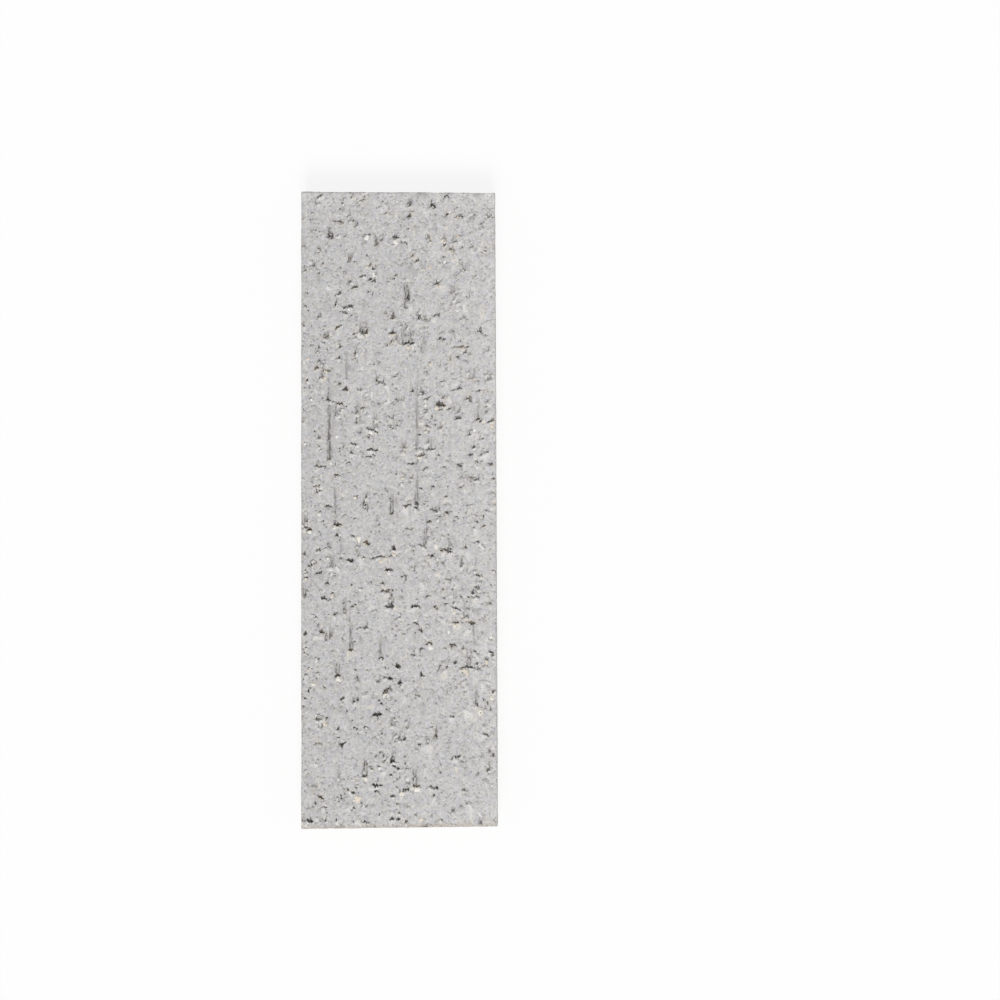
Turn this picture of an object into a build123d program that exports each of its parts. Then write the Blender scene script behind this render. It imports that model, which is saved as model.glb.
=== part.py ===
from build123d import *

import os
from math import floor, radians, tan

# Porcelain brick tile: one extruded and fired piece, lying on its back with its face up.
# The column of clay leaves the die along Y, so the tile has one section all along its length: a flat
# slab whose back is keyed with dovetail slots for the bedding mortar. The two ends are wire-cut square.
# Millimetres. X runs across the tile, Y along it and Z up from the bedding plane. The origin is the
# middle of the back.

# Outside of the tile
LENGTH = 210.0
WIDTH = 65.0
THICKNESS = 14.0

# Edges, all of them left soft by the die and the wire
FACE_ARRIS = 0.4
BACK_ARRIS = 0.5
CORNER_ROUND = 1.0

# Dovetail key slots along the back
KEY_MOUTH = 5.0
KEY_DEPTH = 2.0
KEY_LEAN_DEG = 14.0
KEY_ROOT_ROUND = 0.4
KEY_LAND = 5.0
LEAST_EDGE_LAND = 4.0


def key_slot_section():
    """A slot that opens in the bedding plane and is wider at its root, so that set mortar can't pull out."""
    half_mouth = KEY_MOUTH / 2
    half_root = half_mouth + KEY_DEPTH * tan(radians(KEY_LEAN_DEG))
    slot = Polygon(
        (-half_mouth, 0),
        (half_mouth, 0),
        (half_root, KEY_DEPTH),
        (-half_root, KEY_DEPTH),
        align=None,
    )
    root_corners = slot.vertices().group_by(Axis.Y)[-1]
    return fillet(root_corners, KEY_ROOT_ROUND)


def key_slot_centres():
    """Places of the slots across the back: in pairs about a land on the centre line, as many as fit."""
    pitch = KEY_MOUTH + KEY_LAND
    furthest_centre = WIDTH / 2 - LEAST_EDGE_LAND - KEY_MOUTH / 2
    pairs = floor(furthest_centre / pitch + 0.5)
    right_hand = [(place + 0.5) * pitch for place in range(pairs)]
    return [side * centre for centre in right_hand for side in (-1, 1)]


def tile_section():
    """The die's opening: a slab with softened back edges, less the key slots."""
    slab = Rectangle(WIDTH, THICKNESS, align=(Align.CENTER, Align.MIN))
    back_corners = slab.vertices().group_by(Axis.Y)[0]
    section = fillet(back_corners, BACK_ARRIS)
    for centre in key_slot_centres():
        section -= Pos(centre, 0) * key_slot_section()
    return section


def tile_plan():
    """The tile seen from above: a rectangle with its four upright corners rounded."""
    return RectangleRounded(WIDTH, LENGTH, CORNER_ROUND)


def brick_tile():
    """The section run along the length and trimmed to the plan, with the edges of its face rounded."""
    column = extrude(Plane.XZ * tile_section(), LENGTH / 2, both=True)
    tile = column & extrude(tile_plan(), THICKNESS)
    face_edges = tile.faces().sort_by(Axis.Z)[-1].edges()
    return fillet(face_edges, FACE_ARRIS)


os.makedirs("parts", exist_ok=True)
export_step(brick_tile(), "parts/brick_tile.step")
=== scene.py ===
from collections import namedtuple
from math import ceil, radians

import bmesh
import bpy
import numpy as np
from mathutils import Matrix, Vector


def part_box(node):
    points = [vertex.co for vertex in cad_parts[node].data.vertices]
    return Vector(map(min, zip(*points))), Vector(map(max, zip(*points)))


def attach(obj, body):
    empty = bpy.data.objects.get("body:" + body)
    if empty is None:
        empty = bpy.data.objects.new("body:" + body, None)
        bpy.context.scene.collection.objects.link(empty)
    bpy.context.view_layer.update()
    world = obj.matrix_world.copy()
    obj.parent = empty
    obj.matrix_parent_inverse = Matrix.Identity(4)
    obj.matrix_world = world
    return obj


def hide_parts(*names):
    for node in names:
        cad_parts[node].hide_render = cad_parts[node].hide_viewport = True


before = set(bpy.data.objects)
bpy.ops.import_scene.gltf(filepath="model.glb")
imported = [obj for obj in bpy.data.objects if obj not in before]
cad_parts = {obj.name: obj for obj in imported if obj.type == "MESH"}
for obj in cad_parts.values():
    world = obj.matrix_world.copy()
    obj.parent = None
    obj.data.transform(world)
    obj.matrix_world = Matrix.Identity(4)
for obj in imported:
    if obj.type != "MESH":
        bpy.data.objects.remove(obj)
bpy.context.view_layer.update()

# Porcelain brick tile: looks for the one fired piece that the frame holds.
# The clay was dragged along -Y as its face was cut, so the face is torn that way: each grain of grog that
# the cutter caught left a gap behind it, often a longer tear and sometimes a scored trail.
# Relief is worked out in millimetres and turned into metres when a mesh is made.

MM = 0.001
LOW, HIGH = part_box("brick_tile")
TOP = HIGH.z / MM

# One generator makes every draw, in a fixed order
SEED = 20
RNG = np.random.default_rng(SEED)

# The skin of the tile, just inside the CAD faces so that no grain stands out of them
SKIN = 0.06
HALF_WIDTH = HIGH.x / MM - SKIN
HALF_LENGTH = HIGH.y / MM - SKIN
FACE_LEVEL = TOP - 3 * SKIN

# How far the clay between the marks lies below that level, and the radius of the edges of the face
FACE_HOLLOW = 0.05
ARRIS = 0.36

# How far the fired tile is out of square: its right side leans in towards the top end, and both ends slant
NARROWER_AT_TOP_END = 0.9
SLANT_OF_TOP_END = 0.4
SLANT_OF_FRONT_END = 0.85

# Spacing of the points of the face and of the sides, which reach below the bed and are trimmed there
FACE_STEP = 0.16
SIDE_STEP = 0.4
DEPTH_BELOW_BED = 2.0

# How far the points are then thinned out, and how strongly the marks are spared
MOST_TRIANGLES = 188000
MARK_HOLD = 6e-6

# What tells parts of the tile apart: the strip by its edges, the depth of its face and how level they lie
EDGE_STRIP = 1.2
FACE_DEPTH = 2.0
LEVEL = 0.6

# How many marks of each kind the face has beside those listed, and how many torn places a side has
CAUGHT_GRAINS = 300
RANDOM_TRAILS = 80
SCRATCHES = 24
TORN_PLACES = 230
SMALL_MARKS = 1650
SIDE_TEARS = 45
END_TEARS = 18

# How far apart a mark's base and tail change direction
KINK = 0.42

# A tear below the one length is a gap, and one above the other is a wedge
SHORT_GAP = 0.75
LONG_WEDGE = 2.5

# A mark of the cutter. x and y place the middle of its base, and the mark runs from there towards +Y and
# narrows. Arch bows the base down at its sides, slant tilts it, jag makes it crooked, lean tilts the whole
# mark, taper is how it narrows, fade how it grows shallow and striae how much it is scored lengthwise.
# A shade below zero makes it a pale crumb that stands up instead.
Mark = namedtuple("Mark", "x y width length depth shade arch slant lean jag taper fade striae",
                  defaults=(0.0,) * 7)
Grain = namedtuple("Grain", "x y size long tint")
Skins = namedtuple("Skins", "face left right front back")
Faces = namedtuple("Faces", "on_top under wall upright normal centre sizes corner")

# The tears that stand out most, placed from the middle of the face:
# across, along, width, length, slant and darkness
SEEN_TEARS = (
    (-26.3, 103, 2, 1, 0.3, 0.8), (11.1, 99.7, 2.2, 1.9, -0.2, 0.9), (-3.5, 97.8, 2.6, 0.6, 0, 0.7),
    (15.7, 97.1, 2.2, 0.7, 0.2, 0.8), (20.3, 96.3, 3.2, 0.5, -0.1, 0.8), (-20.3, 94.8, 3.6, 0.5, -0.4, 0.9),
    (-10.7, 90.6, 3, 0.4, 0.1, 0.8), (-22.8, 89.8, 1.7, 4, 0, 1), (-1.2, 89.6, 2, 0.5, 0, 0.9),
    (14.7, 89.5, 2.6, 0.6, 0, 0.6), (1.5, 87.8, 1.8, 0.5, -0.5, 0.8), (17.4, 85.5, 2.5, 0.7, -0.35, 1),
    (-9.4, 80, 3.2, 1, -0.3, 0.9), (25.3, 77.3, 2, 0.5, 0, 0.8), (28.3, 75.6, 1.7, 0.7, -0.3, 0.9),
    (-8.8, 75.3, 2.7, 0.9, -0.35, 1), (12.5, 74.2, 1.8, 1.2, 0, 0.8), (-14.7, 73.3, 2, 0.8, 0.1, 1),
    (-20, 71, 1.7, 0.7, 0.5, 0.9), (2.8, 69.3, 1.4, 3, -0.4, 1), (-17, 66.7, 4, 0.9, 0, 0.8),
    (-18.2, 65, 2.6, 0.6, -0.4, 0.9), (11.4, 64, 3.2, 0.7, -0.1, 0.8), (-20, 60.1, 2, 1, 0.4, 1),
    (-2.1, 58.1, 2, 1.4, 0, 0.9), (-11.7, 58.1, 2.6, 1.2, 0, 0.7), (27.3, 58.1, 4, 0.5, -0.33, 0.9),
    (14, 56.1, 2.6, 0.7, 0, 0.9), (3.2, 54.6, 3.8, 1, 0.1, 0.9), (20.3, 53.7, 5.4, 0.6, 0, 0.8),
    (-27.3, 46.5, 1.4, 1.6, 0, 0.9), (-24, 45.9, 2.6, 0.9, -0.1, 0.9), (-17.7, 39.6, 1.7, 1.6, 0, 1),
    (26.3, 39.3, 1.7, 0.7, 0, 0.8), (-20.8, 35.3, 4.3, 0.5, -0.25, 0.9), (13.7, 34.3, 3.2, 1.7, -0.1, 1),
    (19.3, 30, 2, 1.3, 0, 0.8), (26.3, 29.7, 2.6, 0.5, 0, 0.9), (30.4, 29, 1.8, 1.1, 0.1, 1),
    (-8.9, 26.3, 4.2, 0.6, -0.5, 0.9), (-14.9, 21.6, 3, 0.6, -0.1, 0.9), (-8.8, 19.8, 3.2, 0.5, 0, 0.9),
    (10.1, 19.8, 3.3, 0.7, -0.1, 0.9), (23.3, 18.1, 1.4, 1, 0, 1), (3.8, 15.1, 2, 1.3, 0, 1),
    (24.6, 10.2, 3.2, 0.6, -0.1, 0.8), (7.1, 6.9, 2, 0.6, -0.5, 0.9), (5.8, 2.2, 1.8, 0.6, -0.3, 1),
    (2.6, 1.6, 2.3, 0.5, 0.25, 1), (-23.3, 1.3, 2.4, 0.8, 0.2, 0.8), (15.7, -0.9, 1.2, 0.9, 0, 1),
    (-20.6, -4.9, 2.4, 1.2, 0, 1), (27.9, -5.4, 1.4, 0.9, 0.4, 1), (-15, -9, 1.9, 0.6, -0.8, 0.8),
    (-10.7, -11, 2.2, 1.2, -0.2, 0.9), (7.4, -11.8, 2.2, 0.4, -0.7, 0.8), (-1.8, -13, 1.4, 1.7, 0, 1),
    (15.4, -13.4, 4.4, 0.6, -0.15, 1), (-5.9, -15.5, 3.6, 0.7, -0.1, 1), (-16, -16.8, 2, 1.5, -0.1, 0.9),
    (-3.4, -19.6, 2.7, 0.9, -0.1, 1), (-26.6, -20.8, 2.4, 0.9, 0.2, 1), (26.3, -21.6, 2.4, 0.6, -0.3, 0.9),
    (-4.5, -26.7, 2.9, 1.2, 0, 0.9), (-25, -29, 2.4, 0.7, -0.5, 1), (5.2, -31.7, 2.4, 0.9, 0.1, 1),
    (-3.4, -31.9, 2.5, 1.2, 0.2, 0.9), (18.6, -32.5, 3.4, 0.6, -0.4, 0.8), (18.4, -37, 2.7, 0.6, 0, 0.9),
    (5.5, -37.3, 1.8, 0.6, -0.3, 1), (24, -37.4, 2, 1.5, -0.2, 0.7), (-11.1, -38.8, 1.4, 2.6, 0, 0.9),
    (7.1, -40, 1.4, 2.6, -0.3, 1), (-25.5, -40.3, 1.4, 1.6, -0.1, 0.9), (9.8, -43.9, 2.2, 0.4, -0.15, 1),
    (17.5, -44.3, 1.9, 0.6, -0.1, 0.9), (-16.2, -46.2, 1.8, 0.9, 0.3, 1), (30.4, -46.9, 1.2, 1, 0, 1),
    (-0.5, -51.6, 1.7, 2, 0, 0.9), (21.9, -51.9, 4.4, 0.8, 0.1, 1), (-20.3, -54.6, 1.8, 1, 0, 0.9),
    (7.4, -54.7, 1.6, 0.7, 0, 1), (0.2, -57.2, 1.4, 1.9, 0, 1), (-4, -58.9, 2, 0.9, 0.7, 1),
    (31, -60, 1.3, 1, 0.4, 1), (-18.6, -61.8, 1.6, 0.8, 0.6, 1), (-7.3, -67.5, 2.7, 1.5, -0.1, 1),
    (17.2, -68.1, 1.8, 1.1, 0.2, 0.9), (28, -73.9, 2, 0.7, 0, 1), (-18.8, -77, 2.4, 0.8, 0.5, 1),
    (18.5, -81.6, 2.8, 0.6, 0.2, 1), (-2.3, -82.9, 1.7, 3.6, 0.3, 1), (-1, -84.6, 2.6, 0.6, -0.3, 1),
    (-7.4, -90.7, 3.4, 0.8, -0.1, 1), (5.4, -90.8, 2.5, 0.8, 0, 0.9), (11.2, -91.4, 3.2, 0.8, -0.2, 1),
    (21.5, -92.2, 1.8, 0.6, -0.3, 1), (1.6, -92.4, 2.9, 0.7, 0.1, 1), (-15.8, -92.6, 2.6, 0.9, -0.3, 0.9),
    (-2.1, -94.2, 1.8, 1.5, 0.2, 0.9), (-25.9, -94.6, 1.7, 1.1, -0.2, 1), (22.6, -96.7, 2, 0.5, 0, 0.9),
    (-1.4, -101.8, 3.6, 0.8, 0.2, 1), (13.7, -102.1, 1.1, 0.9, 0, 1), (-29.5, -102.4, 2.1, 1.5, 0, 1),
    (-25, 80.9, 0.8, 0.8, 0, 1), (14.7, 86.9, 0.9, 0.8, 0, 1), (14.7, 83.3, 1, 0.9, -0.2, 0.9),
    (3.1, 96.4, 1.1, 0.7, 0, 1), (29.3, 86.7, 0.8, 1.2, 0, 0.9), (-11.9, 76.9, 2.4, 0.8, 0.3, 0.9),
    (-30.2, 42.6, 0.8, 0.9, 0, 1), (-7.6, 42.6, 1, 1.2, 0, 0.9), (-5.6, 41.5, 2.6, 0.4, -0.2, 0.9),
    (8.4, 40.8, 1.6, 0.8, -0.3, 0.8), (18.8, 39.6, 3.2, 0.5, 0.2, 0.8), (14.5, 37, 1, 0.8, 0, 0.9),
    (-10, 17.6, 1.9, 0.5, 0.2, 0.9), (30.2, 15, 1.8, 0.5, -0.2, 0.9), (19.8, 14.6, 1.8, 0.7, -0.5, 0.9),
    (-27.3, 8, 1.8, 0.5, 0.2, 0.9), (20.6, 7.4, 1.9, 0.6, 0.3, 0.9), (-14.4, 4.4, 1.4, 0.6, 0.3, 0.9),
    (15.5, 4.2, 1, 0.9, 0, 0.9), (25.5, -10.6, 2, 0.8, 0, 0.9), (-23.8, -24, 1.3, 0.7, 0.2, 0.9),
    (24.3, -28.7, 4, 0.4, 0.1, 0.9), (-6.1, -48.6, 1.3, 0.8, 0, 0.9), (-31.2, -41, 1, 1.6, 0, 0.9),
)

# The trails that stand out most: across, upper end, lower end, width and darkness
SEEN_TRAILS = (
    (27.3, 96.1, 92.8, 0.8, 0.7), (17.4, 92.8, 85.6, 0.5, 0.6), (2.5, 78.9, 66.7, 1.6, 0.8),
    (-2.1, 66.7, 63.1, 1, 0.8), (7.3, 66.7, 62.7, 2.2, 0.8), (-11.7, 63.4, 58.2, 2.6, 0.7),
    (2.5, 62.7, 54.8, 3.6, 0.7), (5.7, 47.3, 20, 0.4, 0.45), (-23.1, 43.3, 16.5, 0.8, 0.9),
    (-13.7, 37, 28.4, 1.1, 0.6), (-7.8, 34, 26.4, 1.3, 0.6), (-26.3, 26.4, 23.4, 1, 0.6),
    (10.1, 24.2, 20, 1.2, 0.6), (-2.6, 6.9, -1.2, 1, 0.8), (-11.2, 5, 0.6, 1.6, 0.8),
    (-7.1, -0.7, -5, 0.9, 0.5), (8.4, -3.4, -12.8, 1, 0.7), (16.4, -8.5, -13.2, 0.6, 0.6),
    (-2.8, -27.2, -31.8, 1.4, 0.9), (-15.8, -33.6, -46, 0.9, 0.6), (22.8, -45, -51.6, 1.1, 0.6),
    (-20.3, -49, -54.4, 1.3, 0.8), (25.3, -58.6, -64.4, 0.6, 0.9), (-14.4, -60, -63, 1.5, 0.8),
    (-11.4, -79.4, -87.6, 1.5, 0.8), (5.1, -83.5, -90.6, 0.9, 0.6), (17.7, -96.5, -99.4, 0.9, 0.5),
    (5.5, 12.5, 0.5, 0.7, 0.7), (-17.4, 57, 43.3, 0.4, 0.4), (25.9, 39.3, 29.9, 0.5, 0.6),
    (23.7, 47.3, 43.3, 1.6, 0.5), (1.4, 25.2, 19.1, 0.9, 0.5), (-21.1, 9.8, -3.6, 0.4, 0.5),
    (-22.2, -13, -19.1, 0.6, 0.6), (20.5, -15, -18.4, 0.5, 0.6), (-6.3, -40.4, -48.9, 0.4, 0.5),
)

# The pale grains that stand out most: across, along, size and tint
SEEN_GRAINS = (
    (16.4, 98.1, 1.2, 0.7), (-10.7, 89.5, 2, 0.85), (14.4, 88.5, 1.8, 0.92), (-1.2, 88.2, 1.7, 0.88),
    (14.7, 81.9, 1.3, 0.8), (9.7, 79.9, 1.3, 0.97), (-8.4, 77.6, 1.8, 0.84), (-16.7, 66, 1.2, 0.84),
    (-10.7, 57.6, 1, 0.92), (-12.1, 57.1, 1.4, 0.92), (2.8, 53.5, 1.5, 0.95), (4.5, 53.5, 1.3, 0.92),
    (-30, 49.8, 1.2, 0.96), (12.4, 33.4, 1.6, 0.95), (27.6, 29.2, 1.3, 0.92), (30.4, 27.6, 1.5, 0.96),
    (24.6, 26.4, 1.2, 0.84), (-9.4, 25.6, 1.5, 0.84), (-20.3, 24.1, 1.7, 0.86), (-22.6, 15.5, 1.3, 0.84),
    (25.6, 14, 1.2, 0.84), (-14.7, 4.1, 1.1, 0.92), (22.6, -4.7, 1.7, 0.7), (-21.3, -5.7, 1.4, 0.9),
    (-13.4, -9.5, 2, 0.9), (12.1, -12, 1.9, 0.9), (-1.5, -14.5, 1.5, 0.95), (-6.1, -16.8, 1.4, 0.96),
    (-3.5, -20.9, 1.4, 0.7), (-4.1, -28, 2, 0.6), (18, -33.5, 1.8, 0.92), (5.5, -36.1, 0.8, 0.85),
    (18.3, -37.9, 1.6, 0.92), (16.4, -40, 1, 0.85), (30, -41.7, 1.4, 0.86), (10.4, -45.3, 1.6, 0.85),
    (22, -53.2, 2, 0.95), (-20.2, -55.7, 1.8, 0.88), (-28.3, -57.2, 1.3, 0.9), (-4.5, -60.9, 1.9, 0.88),
    (30.6, -61.5, 1.7, 0.9), (26.6, -66.5, 2.1, 0.9), (-24.3, -70.1, 1.6, 0.95), (-11.1, -88.3, 1.5, 0.9),
    (5.8, -92, 2.2, 0.86), (0.8, -93.5, 1.6, 0.9), (-14, -95.2, 2.6, 0.94), (7.1, -101.5, 1.6, 0.94),
)


def smoothstep(low, high, value):
    share = np.clip((value - low) / (high - low), 0.0, 1.0)
    return share * share * (3.0 - 2.0 * share)


def srgb(red, green, blue):
    """An 8-bit display colour as the linear colour that a shader takes."""
    share = np.array((red, green, blue)) / 255.0
    linear = np.where(share <= 0.04045, share / 12.92, ((share + 0.055) / 1.055) ** 2.4)
    return (*linear.tolist(), 1.0)


def between(low, high, skew=1.0):
    """One size between two limits; a skew above 1 favours the small ones."""
    return low + (high - low) * RNG.uniform() ** skew


def inside_cells(field, row, column, row_share, column_share):
    """The values of a sheet at given shares of the way from one of its points to the next."""
    lower = field[row, column] + (field[row, column + 1] - field[row, column]) * column_share
    upper = field[row + 1, column] + (field[row + 1, column + 1] - field[row + 1, column]) * column_share
    return lower + (upper - lower) * row_share


def cloud(along, across, cell_along, cell_across):
    """Smooth noise from -1 to 1 over a sheet of points, with cells of the given size."""

    def places(line, cell):
        spot = (line - line[0]) / cell
        first = np.floor(spot).astype(int)
        return first, smoothstep(0.0, 1.0, spot - first), first[-1] + 2

    row, row_share, rows = places(along, cell_along)
    column, column_share, columns = places(across, cell_across)
    knots = RNG.uniform(-1.0, 1.0, (rows, columns))
    return inside_cells(knots, row[:, None], column, row_share[:, None], column_share)


def blurred(field, reach):
    """A sheet with each value spread over its neighbours."""
    steps = range(-reach, reach + 1)
    for axis in (0, 1):
        field = sum(np.roll(field, step, axis) for step in steps) / len(steps)
    return field


class Skin:
    """One side of the tile as a sheet of points: how deep each lies under the side's plane, how dark the
    tears make it and how grey the trails make it. Its across and along are in millimetres."""

    def __init__(self, across, along):
        self.across = across
        self.along = along
        self.depth, self.tear, self.trail, self.lip, self.stain = np.zeros((5, len(along), len(across)))
        self.wander_across = self.wander()
        self.wander_along = self.wander()
        self.scores = cloud(along, across, 9.0, 0.32)

    def wander(self):
        """A small shift of every point, so that no mark has a clean outline."""
        coarse = cloud(self.along, self.across, 0.75, 0.75)
        fine = cloud(self.along, self.across, 0.34, 0.34)
        return 0.18 * coarse + 0.1 * fine

    def window(self, mark):
        """The rows and columns that a mark can reach."""
        reach = mark.width * 0.65 + abs(mark.lean) * mark.length + 0.4
        rise = abs(mark.slant) * mark.width * 0.6 + mark.jag
        below = mark.width * abs(mark.arch) * 0.5 + rise + 0.5
        columns = slice(*np.searchsorted(self.across, (mark.x - reach, mark.x + reach)))
        rows = slice(*np.searchsorted(self.along, (mark.y - below, mark.y + mark.length + rise + 0.4)))
        return rows, columns

    def cut(self, mark):
        """Presses one mark into the skin, with a crooked base and a ragged tail."""
        lip = 0.1
        part = self.window(mark)
        rows, columns = part
        along = self.along[rows][:, None] + self.wander_along[part] - mark.y
        across = self.across[columns][None, :] + self.wander_across[part] - mark.x - mark.lean * along
        side = across / (mark.width / 2)
        knots = np.linspace(-1.1, 1.1, 3 + round(mark.width / KINK))
        crooked = np.interp(side, knots, RNG.uniform(-1.0, 1.0, len(knots)))
        ragged = np.interp(side, knots, RNG.uniform(0.35, 1.0, len(knots)))
        bowed = mark.arch * mark.width * np.minimum(side * side, 1.2) * 0.4
        over_base = along + bowed - mark.slant * across + mark.jag * crooked
        narrowed = np.clip(1.0 - side * side, 0.0, 1.0) ** mark.taper
        run = np.clip(1.0 - over_base / (mark.length * ragged * narrowed + 0.01), 0.0, 1.0)
        form = smoothstep(-lip, lip, over_base) * run ** mark.fade
        form = form * (1.0 - mark.striae * smoothstep(-0.3, 0.5, self.scores[part]))
        if mark.shade < 0:
            for field, level in ((self.depth, mark.depth), (self.tear, 0.0), (self.trail, 0.0)):
                field[part] += (level - field[part]) * form
            self.lip[part] = np.maximum(self.lip[part], -mark.shade * form)
            return
        self.depth[part] = np.maximum(self.depth[part], mark.depth * form)
        field = self.trail if mark.striae else self.tear
        field[part] = np.maximum(field[part], mark.shade * form)

    def weather(self):
        """Marks the clay that stands pale below each tear, in broken bits, and crumbled clay about it."""
        below = np.roll(blurred(self.tear, 3), -2, axis=0)
        bits = smoothstep(-0.4, 0.4, cloud(self.along, self.across, 0.6, 0.8))
        self.lip = np.clip(np.maximum(self.lip, 2.6 * below * bits) - 1.6 * self.tear, 0.0, 1.0)
        self.stain = np.clip(1.8 * blurred(np.maximum(self.tear, 0.5 * self.trail), 5), 0.0, 1.0)


class Crowd:
    """Where the marks of one side gather: thick in some stretches and hardly any in others. Boxes of left,
    right, low and high keep clear of them."""

    def __init__(self, across, along, kept_clear=()):
        self.kept_clear = kept_clear
        self.across = np.linspace(across[0], across[-1], 80)
        self.along = np.linspace(along[0], along[-1], 240)
        stretches = cloud(self.along, self.across, 22.0, 13.0)
        knots = cloud(self.along, self.across, 6.0, 4.0)
        self.thick = 0.5 * stretches + 0.7 * knots

    def places(self, count):
        tries = count * 6
        x = RNG.uniform(self.across[0], self.across[-1], tries)
        y = RNG.uniform(self.along[0], self.along[-1], tries)
        row = np.searchsorted(self.along, y)
        column = np.searchsorted(self.across, x)
        kept = RNG.uniform(-1.0, 1.2, tries) < self.thick[row, column]
        for left, right, low, high in self.kept_clear:
            kept &= (x < left) | (x > right) | (y < low) | (y > high)
        return list(zip(x[kept][:count], y[kept][:count]))

    def marks(self, *kinds):
        """The marks of each kind, from the function that makes one and how many places have it."""
        return [mark for make, count in kinds for place in self.places(count) for mark in make(*place)]


def tear(x, y, width, length, shade, slant=0.0):
    """An open tear, dark along its base. A short one is a crooked gap, a long one a ragged wedge."""
    taper, fade = 0.75, 0.65
    if length < SHORT_GAP:
        taper, fade = 0.3, 0.3
    elif length > LONG_WEDGE:
        taper, fade = 1.3, 0.3
    return Mark(x, y, width, length, depth=between(0.3, 0.5) + 0.18 * min(length, 2.0), shade=shade,
                arch=between(-0.3, 0.5), slant=slant, lean=between(-0.25, 0.25),
                jag=between(0.12, 0.4), taper=taper, fade=fade)


def crumb(x, y, size):
    """A pale crumb of clay that the cutter pushed up."""
    return Mark(x, y, size * between(0.8, 1.3), size * 1.4, depth=-0.04, shade=-between(0.4, 1.0),
                arch=between(-0.2, 0.6), slant=between(-0.4, 0.4), jag=0.15, taper=0.5, fade=0.25)


def torn_place(x, y, width, length, shade, slant=0.0):
    """A place where the clay broke open: crooked gaps side by side, and pale crumbs pushed up below them."""
    bits = 1 + round(width / 0.75)
    for bit in range(bits):
        off = width * ((bit + RNG.uniform()) / bits - 0.5)
        yield tear(x + off, y + slant * off + between(-0.3, 0.4), 0.2 + between(0.6, 1.3) * width / bits,
                   length * between(0.5, 2.4, 1.6), shade * between(0.55, 1.1), slant + between(-0.6, 0.6))
    if RNG.uniform() < 0.3:
        off = width * between(-0.5, 0.5)
        yield tear(x + off, y + slant * off, between(0.4, 0.8), between(1.5, 4.0, 1.5),
                   shade * between(0.6, 1.0))
    for _ in range(RNG.integers(0, bits + 1)):
        off = width * between(-0.6, 0.6)
        yield crumb(x + off, y + slant * off - between(0.5, 1.3), between(0.5, 1.1))


def score(x, y, length, shade):
    """A thin line that runs along the tile."""
    return Mark(x, y, between(0.32, 0.48), length * 1.4, depth=between(0.12, 0.25), shade=shade,
                lean=between(-0.02, 0.02), jag=0.1, taper=0.2, fade=0.25, striae=0.2)


def trail(x, upper, lower, width, shade):
    """A scored trail: a faint band between two lines, broken lines along it, crumbs and an open tear where
    it stopped."""
    length = upper - lower
    yield Mark(x, lower, width * 1.1, length * 1.3, depth=0.1, shade=0.35 * shade, arch=0.1, jag=0.3,
               taper=0.2, fade=0.6, striae=0.6)
    for side in (-0.45, 0.45):
        yield score(x + side * width, lower, length * between(0.6, 1.0), shade * between(0.9, 1.4))
    for _ in range(round(length ** 0.5 * (1.0 + width))):
        run = length * between(0.12, 0.4)
        start = lower + (length - run) * between(0.0, 0.9, 1.3)
        yield score(x + width * between(-0.5, 0.5), start, run, shade * between(0.6, 1.2))
    for _ in range(round(0.7 * width * length ** 0.5)):
        up = length * between(0.0, 0.8, 1.5)
        spot = x + width * between(-0.6, 0.6)
        yield from torn_place(spot, lower + up, between(0.4, 0.8), between(0.3, 1.4),
                              0.8 * shade, between(-0.6, 0.6))
    yield from torn_place(x, lower, width * 1.15, between(0.6, 1.3), shade, between(-0.2, 0.2))


def small_mark(x, y):
    """A short gap, a dot, an upright tick or a crumb."""
    shade = between(0.2, 0.85, 1.4)
    kind = RNG.uniform()
    if kind < 0.4:
        yield tear(x, y, between(0.45, 1.2, 1.4), between(0.25, 0.45), shade, between(-0.9, 0.9))
    elif kind < 0.62:
        yield tear(x, y, between(0.4, 0.75), between(0.5, 0.7), shade)
    elif kind < 0.82:
        yield tear(x, y, between(0.35, 0.5), between(0.8, 2.4, 1.6), shade)
    else:
        yield crumb(x, y, between(0.4, 1.0))


def random_torn_place(x, y):
    yield from torn_place(x, y, between(0.6, 2.0, 1.5), between(0.35, 1.4, 1.5), between(0.35, 0.85),
                          between(-0.5, 0.5))


def random_trail(x, y):
    length = between(1.5, 6.0, 1.6)
    yield from trail(x, y + length, y, between(0.5, 1.8, 1.5), between(0.35, 0.75))


def scratch(x, y):
    yield Mark(x, y, width=between(0.3, 0.4), length=between(4.0, 22.0, 1.5), depth=between(0.05, 0.1),
               shade=between(0.25, 0.55), lean=between(-0.01, 0.01), taper=0.15, fade=0.3, striae=0.4)


def on_face(x, y, size):
    """Keeps a grain of some size clear of the edges of the face."""
    reach = 0.9 + 0.6 * size
    return (min(max(x, reach - HALF_WIDTH), HALF_WIDTH - reach),
            min(max(y, reach - HALF_LENGTH), HALF_LENGTH - reach))


def caught_grains(count, crowd):
    """Grains that the cutter caught, each with the gap that opened behind it, some with a longer tear."""
    grains = []
    marks = []
    for place in crowd.places(count):
        size = between(0.5, 1.7, 1.6)
        x, y = on_face(*place, size)
        tint = between(0.0, 0.72) if RNG.uniform() < 0.93 else between(0.74, 1.0)
        grains.append(Grain(x, y, size, between(0.8, 1.25), tint))
        behind = y + 0.4 * size
        marks.append(tear(x, behind, size * between(0.8, 1.5), between(0.3, 0.55), between(0.4, 1.0),
                          between(-0.3, 0.3)))
        if RNG.uniform() < 0.25:
            width = size * between(0.6, 1.1)
            marks.append(tear(x, behind, width, between(0.8, 2.4, 1.5), between(0.6, 1.0)))
    return grains, marks


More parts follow.
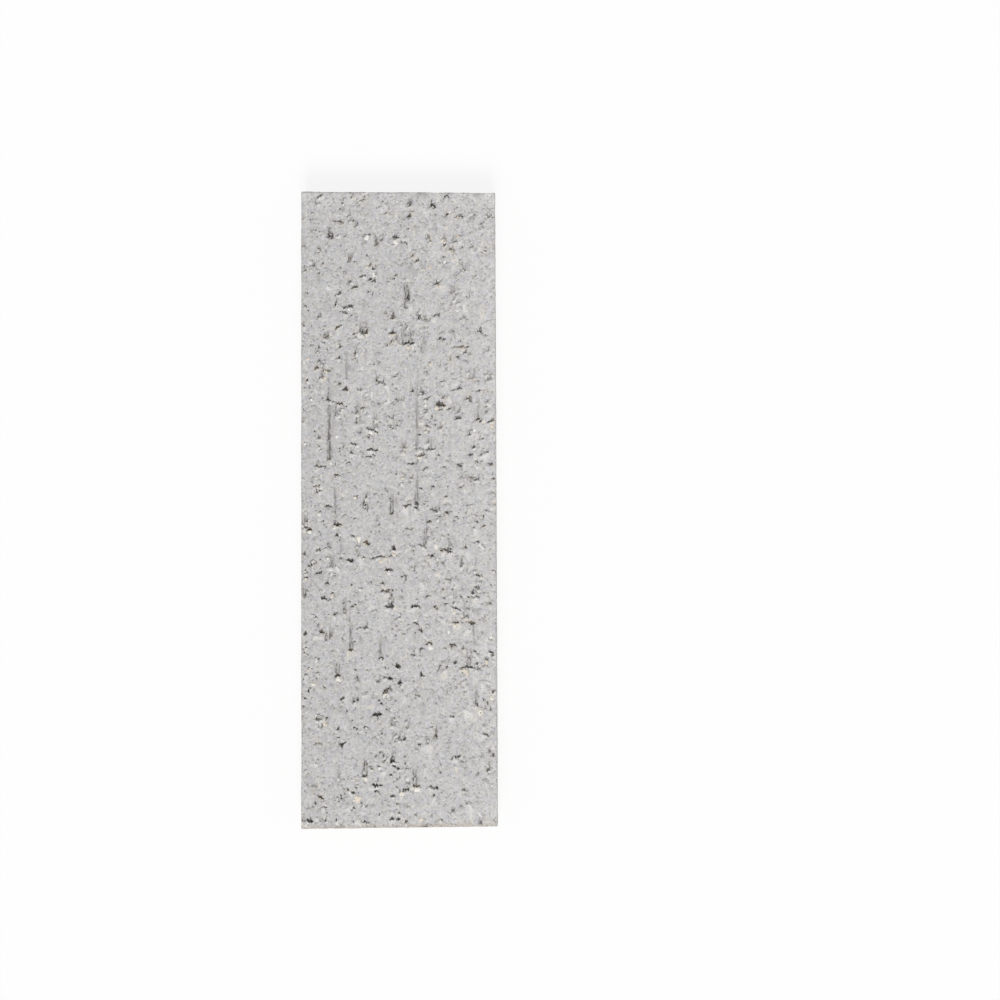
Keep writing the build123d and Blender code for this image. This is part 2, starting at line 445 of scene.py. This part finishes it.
def seen_tear(x, y, width, length, shade, slant):
    """A listed tear: a ragged wedge if it is long, or else one broken into steps if it is wide."""
    if length > LONG_WEDGE:
        yield tear(x, y, width, 1.5 * length, 0.5 * shade, slant)
        yield from torn_place(x, y, width, 0.4 * length, shade, slant)
        return
    steps = max(1, round(width / 1.6))
    for step in range(steps):
        off = width * ((step + 0.5) / steps - 0.5)
        fall = between(-0.35, 0.35) if steps > 1 else 0.0
        yield tear(x + off, y + slant * off + fall, 1.15 * width / steps, length * between(1.0, 1.6),
                   0.9 * shade, slant + between(-0.2, 0.2))
    yield from torn_place(x, y, width, 0.6 * length, 0.9 * shade, slant)


def seen_boxes():
    """The boxes of left, right, low and high that the listed marks fill."""
    for x, y, width, length, _, _ in SEEN_TEARS:
        yield x - width / 2 - 0.7, x + width / 2 + 0.7, y - 1.5, y + length + 0.6
    for x, upper, lower, width, _ in SEEN_TRAILS:
        yield x - width / 2 - 0.6, x + width / 2 + 0.6, lower - 1.5, upper


def face_skin(across, along):
    """The face, with every mark that the cutter left, and the grains that it caught."""
    skin = Skin(across, along)
    crowd = Crowd(across, along, list(seen_boxes()))
    grains, gaps = caught_grains(CAUGHT_GRAINS, crowd)
    for x, y, size, tint in SEEN_GRAINS:
        grains.append(Grain(*on_face(x, y, size), size, between(0.8, 1.2), tint))
    marks = crowd.marks((random_trail, RANDOM_TRAILS), (scratch, SCRATCHES),
                        (random_torn_place, TORN_PLACES), (small_mark, SMALL_MARKS)) + gaps
    for x, upper, lower, width, shade in SEEN_TRAILS:
        marks.extend(trail(x, upper, lower, width, shade))
    for x, y, width, length, slant, shade in SEEN_TEARS:
        marks.extend(seen_tear(x, y, width, length, shade, slant))
    for mark in marks:
        skin.cut(mark)
    skin.weather()
    skin.depth += FACE_HOLLOW + 0.03 * cloud(along, across, 14.0, 5.0)
    return skin, grains


def side_skin(across, along, tear_count):
    """A side of the tile that the die or the wire left plainer than the face."""
    skin = Skin(across, along)
    crowd = Crowd(across, along)
    for mark in crowd.marks((random_torn_place, tear_count), (small_mark, tear_count * 4)):
        skin.cut(mark)
    skin.weather()
    skin.lip *= 0.5
    uneven = 0.08 * cloud(along, across, 6.0, 2.5) + 0.06 * cloud(along, across, 1.6, 1.6)
    skin.depth += 0.16 + uneven + 0.04 * skin.scores
    return skin


def arris_wear(line):
    """How far the edge of the face is worn and chipped back along one side."""
    spots = np.arange(line[0], line[-1] + 2.0, 1.1)
    wear = 0.05 + 0.22 * np.interp(line, spots, RNG.uniform(0.0, 1.0, len(spots))) ** 2
    for place in RNG.uniform(line[0], line[-1], round((line[-1] - line[0]) / 6.0)):
        half = between(0.4, 1.3, 1.5)
        wear += between(0.1, 0.4, 1.5) * smoothstep(half, 0.3 * half, np.abs(line - place))
    return wear


def from_edges(edges, across, along):
    """A sheet that takes the value of the nearest edge near each edge, and nothing in the middle."""
    left, right, front, back = edges
    sheet = np.zeros((len(along), len(across)))
    reach = ceil(ARRIS / FACE_STEP) + 1
    sheet[:, :reach] = left[:, None]
    sheet[:, -reach:] = right[:, None]
    sheet[:reach, :] = np.maximum(sheet[:reach, :], front[None, :])
    sheet[-reach:, :] = np.maximum(sheet[-reach:, :], back[None, :])
    return sheet


def rim(sheet):
    """The border of a sheet as one ring, from its first corner along the front, right, back and left."""
    return np.concatenate((sheet[0, :-1], sheet[:-1, -1], sheet[-1, :0:-1], sheet[:0:-1, 0]))


def round_edges(places):
    """The inner points that the edges of a sharp box are rounded about, and the way out from there."""
    high = np.array((HALF_WIDTH, HALF_LENGTH, FACE_LEVEL)) - ARRIS
    low = (-high[0], -high[1], -np.inf)
    inner = np.clip(places, low, high)
    way_out = places - inner
    way_out /= np.linalg.norm(way_out, axis=1)[:, None]
    return inner, way_out


def plain_mesh(name, points, faces):
    """A mesh from points in millimetres and a list of face arrays."""
    mesh = bpy.data.meshes.new(name)
    corners = np.concatenate([group.ravel() for group in faces])
    sizes = np.concatenate([np.full(len(group), group.shape[1]) for group in faces])
    starts = np.cumsum(sizes) - sizes
    mesh.vertices.add(len(points))
    mesh.vertices.foreach_set("co", (points * MM).astype(np.float32).ravel())
    mesh.loops.add(len(corners))
    mesh.loops.foreach_set("vertex_index", corners.astype(np.int32))
    mesh.polygons.add(len(sizes))
    mesh.polygons.foreach_set("loop_start", starts.astype(np.int32))
    mesh.update(calc_edges=True)
    return mesh


def in_scene(name, mesh):
    piece = bpy.data.objects.new(name, mesh)
    bpy.context.scene.collection.objects.link(piece)
    return piece


def evaluated_mesh(piece):
    """The mesh that a piece's modifiers give, with the modifiers then removed."""
    state = bpy.context.evaluated_depsgraph_get()
    mesh = bpy.data.meshes.new_from_object(piece.evaluated_get(state))
    piece.modifiers.clear()
    return mesh


def block_faces(rows, columns, ring, layers):
    """Faces of the closed block: its top sheet, its four sides layer by layer, and a fan underneath."""
    grid = np.arange(rows * columns).reshape(rows, columns)
    top = np.stack((grid[:-1, :-1], grid[:-1, 1:], grid[1:, 1:], grid[1:, :-1]), -1).reshape(-1, 4)
    below = rows * columns + np.arange(layers * len(ring)).reshape(layers, len(ring))
    stack = np.vstack((rim(grid)[None, :], below))
    turned = np.roll(stack, -1, axis=1)
    sides = np.stack((stack[:-1], stack[1:], turned[1:], turned[:-1]), -1).reshape(-1, 4)
    centre = np.full(len(ring), rows * columns + below.size)
    fan = np.stack((centre, turned[-1], stack[-1]), -1)
    return [top, sides, fan]


def shares_of_tile(x, y):
    """How far points lie towards the right side and towards the top end of the tile, from 0 to 1."""
    return (x + HALF_WIDTH) / (2 * HALF_WIDTH), (y + HALF_LENGTH) / (2 * HALF_LENGTH)


def relief_block():
    """The tile's face and sides as one closed block that reaches below the bed. Returns its mesh, the skins
    of its sides and the grains of its face."""
    across, along = [
        np.linspace(-half, half, round(2 * half / FACE_STEP) + 1) for half in (HALF_WIDTH, HALF_LENGTH)
    ]
    layers = ceil((FACE_LEVEL + DEPTH_BELOW_BED) / SIDE_STEP)
    down = FACE_LEVEL - np.arange(layers + 1) * (FACE_LEVEL + DEPTH_BELOW_BED) / layers
    up = down[::-1]
    face, grains = face_skin(across, along)
    left, right = [side_skin(up, along, SIDE_TEARS) for _ in range(2)]
    front, back = [side_skin(across, up, END_TEARS) for _ in range(2)]
    wear = from_edges([arris_wear(line) for line in (along, along, across, across)], across, along)
    upper_edges = (left.depth[:, -1], right.depth[:, -1], front.depth[-1], back.depth[-1])
    side_at_face = from_edges(upper_edges, across, along)

    grid_x, grid_y = np.meshgrid(across, along)
    top_places = np.stack((grid_x, grid_y, np.full_like(grid_x, FACE_LEVEL)), -1).reshape(-1, 3)
    ring = np.stack((rim(grid_x), rim(grid_y)), -1)
    side_depth = np.concatenate((
        front.depth[::-1, :-1],
        right.depth[:-1, ::-1].T,
        back.depth[::-1, :0:-1],
        left.depth[:0:-1, ::-1].T,
    ), axis=1)[1:]
    ring_places = np.concatenate([np.column_stack((ring, np.full(len(ring), z))) for z in down[1:]])
    places = np.concatenate((top_places, ring_places))
    inner, way_out = round_edges(places)
    face_share = way_out[:, 2] ** 2
    bevel_share = 4.0 * face_share * (1.0 - face_share)
    face_part = np.append(face.depth, np.tile(rim(face.depth), layers))
    side_part = np.append(side_at_face, side_depth)
    wear_part = np.append(wear, np.tile(rim(wear), layers))
    depth = face_share * face_part + (1.0 - face_share) * side_part + bevel_share * wear_part
    points = inner + way_out * (ARRIS - depth)[:, None]
    to_right, to_top_end = shares_of_tile(points[:, 0], points[:, 1])
    points[:, 0] -= NARROWER_AT_TOP_END * to_top_end * to_right
    points[:, 1] -= to_right * (SLANT_OF_TOP_END * to_top_end - SLANT_OF_FRONT_END * (1.0 - to_top_end))
    foot = np.array([[0.0, 0.0, -DEPTH_BELOW_BED]])
    points = np.concatenate((points, foot))
    mesh = plain_mesh("relief_block", points, block_faces(len(along), len(across), ring, layers))
    return mesh, Skins(face, left, right, front, back), grains


def solid_of_frame():
    """A closed copy of the frame's tile."""
    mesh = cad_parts["brick_tile"].data.copy()
    work = bmesh.new()
    work.from_mesh(mesh)
    bmesh.ops.remove_doubles(work, verts=work.verts, dist=1e-6)
    work.to_mesh(mesh)
    work.free()
    return in_scene("solid_of_frame", mesh)


def keep_marks(body, face):
    """Groups the points of a block that may be thinned out freely: all but those in or beside marks."""
    marked = np.clip(3.0 * blurred(np.maximum(face.tear, face.trail), 1), 0.0, 1.0).ravel()
    levels = 4
    step = np.zeros(len(body.data.vertices), int)
    step[:len(marked)] = np.round(levels * marked)
    plain = body.vertex_groups.new(name="plain")
    for level in range(levels + 1):
        plain.add(np.flatnonzero(step == level).tolist(), 1.0 - level / levels, "REPLACE")


def tile_body():
    """The whole tile: relief over the face and sides, and the keyed back that the frame gives."""
    block_mesh, skins, grains = relief_block()
    body = in_scene("tile_body", block_mesh)
    keep_marks(body, skins.face)
    thinning = body.modifiers.new("thinning", "DECIMATE")
    thinning.vertex_group = "plain"
    thinning.vertex_group_factor = MARK_HOLD
    thinning.ratio = MOST_TRIANGLES / (2 * len(block_mesh.polygons))
    thinning.use_collapse_triangulate = True
    body.data = evaluated_mesh(body)
    solid = solid_of_frame()
    keying = body.modifiers.new("keying", "BOOLEAN")
    keying.operation = "INTERSECT"
    keying.solver = "MANIFOLD"
    keying.object = solid
    body.data = evaluated_mesh(body)
    bpy.data.objects.remove(solid)
    body.vertex_groups.clear()
    body.data.name = "tile_body"
    shade_body(body.data)
    return body, skins, grains


def read_from(items, name, kind, width):
    """One property of all items of a mesh, as an array of rows."""
    values = np.empty(len(items) * width, kind)
    items.foreach_get(name, values)
    return values.reshape(-1, width) if width > 1 else values


def sorted_faces(mesh):
    """Tells the parts of the tile apart: its face, what looks down, the walls of the slots and its sides."""
    normal = read_from(mesh.polygons, "normal", np.float32, 3)
    centre = read_from(mesh.polygons, "center", np.float32, 3) / MM
    sizes = read_from(mesh.polygons, "loop_total", np.int32, 1)
    corner = read_from(mesh.loops, "vertex_index", np.int32, 1)
    inside_width = np.abs(centre[:, 0]) < HALF_WIDTH - EDGE_STRIP
    inside = inside_width & (np.abs(centre[:, 1]) < HALF_LENGTH - EDGE_STRIP)
    on_top = (centre[:, 2] > FACE_LEVEL - FACE_DEPTH) & (inside | (normal[:, 2] > LEVEL))
    under = ~on_top & (normal[:, 2] < -LEVEL)
    wall = ~on_top & ~under & inside
    upright = ~on_top & ~under & ~inside
    return Faces(on_top, under, wall, upright, normal, centre, sizes, corner)


def on_keyed_back(mesh):
    """Which points of the tile belong to its lands or slots."""
    faces = sorted_faces(mesh)
    keyed = np.zeros(len(mesh.vertices), bool)
    keyed[faces.corner[np.repeat(faces.under | faces.wall, faces.sizes)]] = True
    return keyed


def shade_body(mesh):
    """Smooth relief with crisp breaks, over a keyed back that stays flat."""
    mesh.shade_smooth()
    mesh.set_sharp_from_angle(angle=radians(50))
    faces = sorted_faces(mesh)
    mesh.polygons.foreach_set("use_smooth", ~(faces.under | faces.wall))


def on_points(mesh, name, values):
    layer = mesh.attributes.new(name, "FLOAT", "POINT")
    layer.data.foreach_set("value", values.astype(np.float32))


def read_sheet(skin, name, across, along):
    """The value of one of a skin's fields at given places, between its points."""
    field = getattr(skin, name)

    def spots(place, line):
        last = len(line) - 1.001
        spot = np.minimum(np.interp(place, line, np.arange(len(line))), last)
        return spot.astype(int), spot % 1.0

    column, column_share = spots(across, skin.across)
    row, row_share = spots(along, skin.along)
    return inside_cells(field, row, column, row_share, column_share)


def dress_points(mesh, skins):
    """Writes on each point how torn, how scored and how far down a side it is, for the finish to read. Each
    range, in millimetres, is where one part of the tile passes into the next."""
    warm_strip = (1.25, 0.95)
    x, y, z = read_from(mesh.vertices, "co", np.float32, 3).T / MM
    to_right, to_top_end = shares_of_tile(x, y)
    right_edge = HALF_WIDTH - NARROWER_AT_TOP_END * to_top_end
    front_edge = HALF_LENGTH - SLANT_OF_FRONT_END * to_right
    back_edge = HALF_LENGTH - SLANT_OF_TOP_END * to_right
    gaps = np.stack((HALF_WIDTH + x, right_edge - x, front_edge + y, back_edge - y))
    nearest = gaps.argmin(axis=0)
    from_edge = gaps.min(axis=0)
    below_face = FACE_LEVEL - z
    on_arris = 0.5 * smoothstep(0.08, 0.3, below_face) * smoothstep(0.6, 0.35, from_edge)
    on_front = smoothstep(*warm_strip, gaps[2])
    on_side = smoothstep(0.25, 0.9, below_face) * smoothstep(1.3, 0.7, from_edge)
    on_side = np.maximum.reduce((on_side, on_arris, on_front))
    off_face = np.maximum(on_side, smoothstep(5.0, 4.0, z))
    sides = ((skins.left, z, y), (skins.right, z, y), (skins.front, x, z), (skins.back, x, z))
    unmarked = on_keyed_back(mesh)
    for name in ("tear", "trail", "lip", "stain"):
        values = (1.0 - off_face) * read_sheet(skins.face, name, x, y)
        for side, (skin, across, along) in enumerate(sides):
            here = nearest == side
            values[here] += on_side[here] * read_sheet(skin, name, across[here], along[here])
        values[unmarked] = 0.0
        on_points(mesh, name, values)
    on_points(mesh, "side", off_face)


def bake_map(mesh):
    """Lays every face of the tile flat beside the others, in millimetres of a square sheet: the face, the
    long sides and the ends at full size, and the lands, roots and walls of the keyed back at half size."""
    sheet = 212.0
    gap = 2.0
    half_scale = 0.5
    width = 2 * HIGH.x / MM
    length = 2 * HIGH.y / MM
    wall_cell = 5.0
    wall_pitch = 1.5
    left_row = width + gap
    right_row = left_row + TOP + gap
    back_row = right_row + TOP + gap
    wall_row = back_row + half_scale * width + gap
    roots_from = half_scale * length + gap
    on_top, under, wall, upright, normal, centre, sizes, corner = sorted_faces(mesh)
    x, y, z = (read_from(mesh.vertices, "co", np.float32, 3)[corner] / MM).T
    lengthwise = np.abs(normal[:, 0]) > np.abs(normal[:, 1])
    on_left, in_front = (centre[:, :2] < 0).T
    on_land = centre[:, 2] < 1.0
    from_left = x + width / 2
    from_front = y + length / 2
    half_left = half_scale * from_left
    half_front = half_scale * from_front
    wall_number = np.repeat(np.floor(centre[:, 0] / wall_cell + width / (2 * wall_cell)), sizes)
    islands = (
        (on_top, from_front, from_left),
        (under & on_land, half_front, back_row + half_left),
        (under & ~on_land, roots_from + half_front, back_row + half_left),
        (wall, half_front, wall_row + wall_pitch * wall_number + half_scale * z),
        (upright & lengthwise & on_left, from_front, left_row + z),
        (upright & lengthwise & ~on_left, from_front, right_row + z),
        (upright & ~lengthwise & in_front, roots_from + from_left, wall_row + z),
        (upright & ~lengthwise & ~in_front, roots_from + from_left, wall_row + TOP + gap + z),
    )
    places = np.zeros((len(corner), 2))
    for faces, along, across in islands:
        here = np.repeat(faces, sizes)
        places[here] = np.column_stack((along[here], across[here])) / sheet
    layer = mesh.uv_layers.new(name="OFBake")
    layer.data.foreach_set("uv", places.astype(np.float32).ravel())


def set_inputs(node, inputs):
    """Sets a node's inputs to values, or links them to sockets or to the first outputs of nodes."""
    for name, value in inputs.items():
        if isinstance(value, bpy.types.Node):
            value = value.outputs[0]
        if isinstance(value, bpy.types.NodeSocket):
            node.id_data.links.new(value, node.inputs[name])
        else:
            node.inputs[name].default_value = value


def add_node(tree, kind, inputs=None, **settings):
    """A new node with its settings and inputs."""
    made = tree.nodes.new(kind)
    for name, value in settings.items():
        setattr(made, name, value)
    set_inputs(made, inputs or {})
    return made


def mixed_colour(share, first, second):
    """Two colours mixed by a share. Sockets 6 and 7 are the node's colours, and output 2 its result."""
    return add_node(share.id_data, "ShaderNodeMix", {0: share, 6: first, 7: second}, data_type="RGBA",
                    clamp_factor=True).outputs[2]


def tinted(colour, factor):
    """A colour made darker or paler by a factor."""
    return add_node(colour.id_data, "ShaderNodeMix", {0: 1.0, 6: colour, 7: factor}, data_type="RGBA",
                    blend_type="MULTIPLY").outputs[2]


def combined(operation, first, second):
    """A socket's value combined with another's or with a number."""
    return add_node(first.id_data, "ShaderNodeMath", {0: first, 1: second}, operation=operation).outputs[0]


def noise_value(place, size_mm, detail=2.0, roughness=0.5):
    """Noise with cells of some size."""
    return add_node(place.id_data, "ShaderNodeTexNoise", {
        "Vector": place, "Scale": 1.0 / (size_mm * MM), "Detail": detail, "Roughness": roughness,
    }).outputs["Fac"]


def drawn_out_noise(place, across_mm, along_mm, detail):
    """Noise with cells that are longer along the tile than across it."""
    cells = (1 / (across_mm * MM), 1 / (along_mm * MM), 1 / (across_mm * MM))
    counted = add_node(place.id_data, "ShaderNodeMapping", {"Vector": place, "Scale": cells})
    inputs = {"Vector": counted, "Scale": 1.0, "Detail": detail}
    return add_node(place.id_data, "ShaderNodeTexNoise", inputs).outputs["Fac"]


def spread(value, low, high, to_low=0.0, to_high=1.0):
    """A value with the range from low to high laid over another range."""
    return add_node(value.id_data, "ShaderNodeMapRange", {
        "Value": value, "From Min": low, "From Max": high, "To Min": to_low, "To Max": to_high,
    }, clamp=True).outputs["Result"]


def attribute_value(tree, name):
    return add_node(tree, "ShaderNodeAttribute", attribute_name=name).outputs["Fac"]


def broken_up(name, noise, *ranges):
    """How far one kind of mark shows, broken up by a noise."""
    return combined("MULTIPLY", attribute_value(noise.id_data, name), spread(noise, *ranges))


def new_material(name):
    material = bpy.data.materials.new(name)
    material.use_nodes = True
    return material, material.node_tree, material.node_tree.nodes["Principled BSDF"]


def clay_ground(place, grit):
    """The unmarked clay: cool and warm mottling, painted light that makes the rims and the right side paler,
    warmer sides, sand, streaks and grit.
    """
    tree = place.id_data
    cool = srgb(195, 194, 197)
    warm = srgb(199, 197, 193)
    pale = srgb(215, 213, 209)
    speck = srgb(140, 137, 133)
    cut_side = srgb(184, 175, 165)
    sand_size = 0.5 * MM
    across, along, _ = add_node(tree, "ShaderNodeSeparateXYZ", {"Vector": place}).outputs
    # Painted light: the clay is made paler towards the top end, the front end and the right side, lifting
    # the shade that falls on those edges and, at the top end, the side's tint that spreads onto the face
    painted_light_at_rims = (
        (along, HIGH.y - 6.0 * MM, HIGH.y - 1.0 * MM, 1.1),
        (along, LOW.y + 10.0 * MM, LOW.y + 4.0 * MM, 1.03),
        (across, HIGH.x - 7.0 * MM, HIGH.x - 1.0 * MM, 1.035),
    )
    colour = mixed_colour(spread(noise_value(place, 2.0), 0.36, 0.64), cool, warm)
    for position, inner, edge, gain in painted_light_at_rims:
        colour = tinted(colour, spread(position, inner, edge, 1.0, gain))
    colour = mixed_colour(combined("MULTIPLY", attribute_value(tree, "side"), 0.8), colour, cut_side)
    # Painted light: the whole face is a shade paler towards its right side, as if lit more from there
    colour = tinted(colour, spread(across, LOW.x, HIGH.x, 0.965, 1.035))
    cells = add_node(tree, "ShaderNodeTexVoronoi", {"Vector": place, "Scale": 1 / sand_size})
    sand = add_node(tree, "ShaderNodeSeparateColor", {"Color": cells.outputs["Color"]}).outputs["Red"]
    colour = tinted(colour, spread(sand, 0.0, 1.0, 0.86, 1.14))
    colour = mixed_colour(spread(sand, 0.9, 0.94, 0.0, 0.45), colour, pale)
    colour = mixed_colour(spread(sand, 0.06, 0.03, 0.0, 0.5), colour, speck)
    colour = tinted(colour, spread(noise_value(place, 1.1, 1.0), 0.3, 0.7, 0.95, 1.05))
    colour = tinted(colour, spread(drawn_out_noise(place, 0.35, 3.0, 1.0), 0.3, 0.7, 0.97, 1.03))
    colour = mixed_colour(spread(grit, 0.6, 0.74, 0.0, 0.6), colour, pale)
    return mixed_colour(spread(grit, 0.36, 0.26, 0.0, 0.6), colour, speck)


def torn_clay(place, ragged, colour):
    """A ground colour with the cutter's marks: crumbled clay, pale lips, scored trails and dark tears, whose
    darkness is partly painted shade in their depths and partly darker clay.
    """
    lip = srgb(228, 226, 222)
    cream = srgb(227, 218, 205)
    dust_grey = srgb(158, 155, 151)
    dust_tan = srgb(166, 153, 137)
    # Painted shade: the two colours below stand partly for the shade deep in the tears and partly for
    # darker, rusty clay there
    tear_shade_grey = srgb(74, 71, 66)
    tear_shade_brown = srgb(98, 85, 71)
    scored = srgb(108, 105, 101)
    rusty = spread(noise_value(place, 4.0, 1.0), 0.52, 0.66)
    drag = drawn_out_noise(place, 0.28, 3.0, 2.0)
    crumbled = broken_up("stain", ragged, 0.44, 0.58, 1.0, 0.0)
    pushed_up = spread(broken_up("lip", ragged, 0.36, 0.6, 0.3, 1.3), 0.1, 0.5, 0.0, 0.9)
    lined = broken_up("trail", drag, 0.38, 0.6, 1.6, 0.3)
    # Painted shade: the tears are darkened towards these colours, partly for the shade in their depths and
    # partly for darker clay
    shaded_tears = spread(broken_up("tear", ragged, 0.3, 0.7, 1.55, 0.5), 0.2, 0.55)
    colour = mixed_colour(crumbled, colour, mixed_colour(rusty, dust_grey, dust_tan))
    colour = mixed_colour(pushed_up, colour, mixed_colour(rusty, lip, cream))
    colour = mixed_colour(lined, colour, scored)
    return mixed_colour(shaded_tears, colour, mixed_colour(rusty, tear_shade_grey, tear_shade_brown))


def fired_clay():
    """Unglazed grey clay with the cutter's marks."""
    material, tree, shader = new_material("fired_clay")
    place = add_node(tree, "ShaderNodeTexCoord").outputs["Object"]
    grit = noise_value(place, 0.6, 2.0, 0.6)
    ragged = noise_value(place, 0.4, 2.0, 0.6)
    roughened = add_node(tree, "ShaderNodeBump", {
        "Height": combined("ADD", grit, ragged), "Strength": 0.4, "Distance": 0.07 * MM,
    })
    set_inputs(shader, {
        "Base Color": torn_clay(place, ragged, clay_ground(place, grit)),
        "Roughness": spread(grit, 0.3, 0.7, 0.78, 0.95),
        "Normal": roughened,
        "Specular IOR Level": 0.25,
    })
    return material


def grog():
    """Crushed grains, most of them a little paler than the clay, some white or cream and a few rusty."""
    material, tree, shader = new_material("grog")
    place = add_node(tree, "ShaderNodeTexCoord").outputs["Object"]
    ramp = add_node(tree, "ShaderNodeValToRGB", {"Fac": attribute_value(tree, "tint")})
    stops = ramp.color_ramp.elements
    stops[0].color = srgb(196, 195, 192)
    stops[1].color = srgb(210, 195, 180)
    tints = (
        (0.6, srgb(211, 209, 205)),
        (0.84, srgb(237, 235, 231)),
        (0.9, srgb(236, 231, 220)),
        (0.94, srgb(229, 220, 205)),
    )
    for spot, colour in tints:
        stops.new(spot).color = colour
    colour = tinted(ramp.outputs["Color"], spread(noise_value(place, 0.45), 0.3, 0.7, 0.92, 1.06))
    set_inputs(shader, {"Base Color": colour, "Roughness": 0.75, "Specular IOR Level": 0.3})
    return material


def grain_tree(material):
    """Sets a lumpy grain on each seat, sized by the seat."""
    tree = bpy.data.node_groups.new("grog_grains", "GeometryNodeTree")
    tilt = 0.12
    full_turn = 6.283
    sockets = {}
    kinds = {"Geometry": "Geometry", "Seed": "Int", "Lumpiness": "Float", "Lump Size": "Float"}
    for name, kind in kinds.items():
        sockets[name] = tree.interface.new_socket(name, in_out="INPUT", socket_type="NodeSocket" + kind)
    tree.interface.new_socket("Geometry", in_out="OUTPUT", socket_type="NodeSocketGeometry")
    given = add_node(tree, "NodeGroupInput").outputs
    pebble = add_node(tree, "GeometryNodeMeshUVSphere", {"Segments": 9, "Rings": 5, "Radius": 0.5})
    size = add_node(tree, "GeometryNodeInputNamedAttribute", {"Name": "size"}, data_type="FLOAT_VECTOR")
    turn = add_node(tree, "FunctionNodeRandomValue", {
        0: (-tilt, -tilt, 0.0), 1: (tilt, tilt, full_turn), "Seed": given["Seed"],
    }, data_type="FLOAT_VECTOR")
    turned = add_node(tree, "FunctionNodeEulerToRotation", {"Euler": turn})
    seated = add_node(tree, "GeometryNodeInstanceOnPoints", {
        "Points": given["Geometry"], "Instance": pebble, "Rotation": turned, "Scale": size,
    })
    real = add_node(tree, "GeometryNodeRealizeInstances", {"Geometry": seated})
    pitch = add_node(tree, "ShaderNodeMath", {0: 1.0, 1: given["Lump Size"]}, operation="DIVIDE")
    offset = add_node(tree, "ShaderNodeTexNoise", {"Scale": pitch, "Detail": 1.0}).outputs["Color"]
    for operation, socket, value in (
        ("SUBTRACT", 1, (0.5, 0.5, 0.5)), ("MULTIPLY", 1, size), ("SCALE", "Scale", given["Lumpiness"]),
    ):
        offset = add_node(tree, "ShaderNodeVectorMath", {0: offset, socket: value}, operation=operation)
    rough = add_node(tree, "GeometryNodeSetPosition", {"Geometry": real, "Offset": offset})
    painted = add_node(tree, "GeometryNodeSetMaterial", {"Geometry": rough, "Material": material})
    add_node(tree, "NodeGroupOutput", {"Geometry": painted})
    return tree, sockets


def grog_grains(grains):
    """The grains that lie flush in the face."""
    proud = 0.11
    thickness = 0.26
    settings = {"Seed": SEED, "Lumpiness": 1.2, "Lump Size": 0.7 * MM}
    x, y, size, long, tint = np.array(grains).T
    z = np.full(len(grains), FACE_LEVEL - FACE_HOLLOW + proud - thickness / 2)
    mesh = plain_mesh("grog_seats", np.column_stack((x, y, z)), [np.empty((0, 3), int)])
    scale = np.column_stack((size, size * long, np.full(len(grains), thickness))) * MM
    layer = mesh.attributes.new("size", "FLOAT_VECTOR", "POINT")
    layer.data.foreach_set("vector", scale.astype(np.float32).ravel())
    on_points(mesh, "tint", tint)
    piece = in_scene("grog_grains", mesh)
    tree, sockets = grain_tree(grog())
    seating = piece.modifiers.new("seating", "NODES")
    seating.node_group = tree
    for name, value in settings.items():
        seating[sockets[name].identifier] = value
    piece.data = evaluated_mesh(piece)
    piece.data.shade_smooth()
    return piece


def white_to_camera(tree, shade, share):
    """A shader that the camera, and what mirrors or lets through, sees as partly plain white."""
    path = add_node(tree, "ShaderNodeLightPath").outputs
    glossy = combined("MAXIMUM", path["Is Camera Ray"], path["Is Glossy Ray"])
    seen = combined("MAXIMUM", glossy, path["Is Transmission Ray"])
    part = combined("MULTIPLY", seen, share)
    white = add_node(tree, "ShaderNodeEmission", {"Color": (1, 1, 1, 1), "Strength": 1.0})
    return add_node(tree, "ShaderNodeMixShader", {0: part, 1: shade, 2: white})


def studio_floor():
    """A plain pale floor that stays white in the picture and keeps a faint shadow."""
    half = 4000.0
    white_share = 0.85
    corners = np.array([[-half, -half, 0.0], [half, -half, 0.0], [half, half, 0.0], [-half, half, 0.0]])
    floor = in_scene("studio_floor", plain_mesh("studio_floor", corners, [np.array([[0, 1, 2, 3]])]))
    material, tree, shader = new_material("studio_floor")
    tree.nodes.remove(shader)
    diffuse = add_node(tree, "ShaderNodeBsdfDiffuse", {"Color": (0.94, 0.94, 0.94, 1.0)})
    set_inputs(tree.nodes["Material Output"], {"Surface": white_to_camera(tree, diffuse, white_share)})
    floor.data.materials.append(material)


def studio_light():
    """Even light from all round, and a soft main light from beyond the lower end of the tile."""
    ambient = 0.5
    world = bpy.data.worlds.new("studio")
    bpy.context.scene.world = world
    world.use_nodes = True
    tree = world.node_tree
    sky = tree.nodes["Background"]
    set_inputs(sky, {"Color": (1, 1, 1, 1), "Strength": ambient})
    set_inputs(tree.nodes["World Output"], {"Surface": white_to_camera(tree, sky, 1.0)})
    lamp = bpy.data.lights.new("main_light", "SUN")
    lamp.energy = 1.9
    lamp.angle = radians(25)
    main = in_scene("main_light", lamp)
    main.rotation_euler = (radians(35), 0.0, 0.0)


def overhead_camera():
    """A camera straight above, with the tile where the photograph has it in its frame of 1000 pixels."""
    frame_pixels = 1000
    tile_length_pixels = 639.0
    tile_centre_pixels = (399.4, 510.4)
    lens = bpy.data.cameras.new("camera")
    lens.lens = 100.0
    lens.sensor_width = 36.0
    pixel = 2 * HIGH.y / tile_length_pixels
    distance = frame_pixels * pixel * lens.lens / lens.sensor_width
    camera = in_scene("camera", lens)
    camera.location = (
        (frame_pixels / 2 - tile_centre_pixels[0]) * pixel,
        (tile_centre_pixels[1] - frame_pixels / 2) * pixel,
        HIGH.z + distance,
    )
    bpy.context.scene.camera = camera


body, skins, caught = tile_body()
dress_points(body.data, skins)
bake_map(body.data)
body.data.materials.clear()
body.data.materials.append(fired_clay())
grains = grog_grains(caught)

for piece in (body, grains):
    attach(piece, "root")
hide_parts("brick_tile")

studio_floor()
studio_light()
overhead_camera()
bpy.context.scene.view_settings.view_transform = "Standard"
